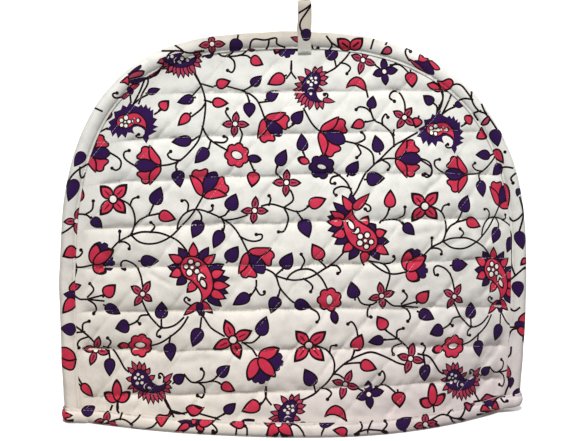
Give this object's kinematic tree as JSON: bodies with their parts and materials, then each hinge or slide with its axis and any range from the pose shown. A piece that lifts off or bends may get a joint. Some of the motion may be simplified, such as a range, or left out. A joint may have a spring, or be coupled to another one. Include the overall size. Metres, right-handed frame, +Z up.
{
  "type": "quilted fabric tea cosy",
  "caption": "Arched, quilted cotton tea cosy with a floral and paisley print, bound along the arch and round the open hem, with a loop at the top.",
  "frame": {"origin": "on the surface that the hem stands on, under the middle of the whole cosy's box", "axes": "+X to the right as seen from the front, -Y out of the front panel, +Z up to the loop"},
  "size_m": [0.3556, 0.1136, 0.325],
  "materials": {
    "panel_print": "matt printed plain-weave cotton, quilted: off-white ground with crimson and purple flowers and paisleys, dark trailing stems",
    "edge_print": "matt printed plain-weave cotton strip, the same print cut across its motifs, folded over the edge",
    "hem_print": "matt printed plain-weave cotton strip, the same print cut across its motifs, folded over the hem",
    "loop_print": "matt printed plain-weave cotton strap, mostly off-white ground with a dark stem and one purple leaf"
  },
  "bodies": {
    "root": {"front_panel": "panel_print", "back_panel": "panel_print", "edge_binding": "edge_print", "hem_binding": "hem_print", "top_loop": "loop_print"}
  },
  "joints": []
}
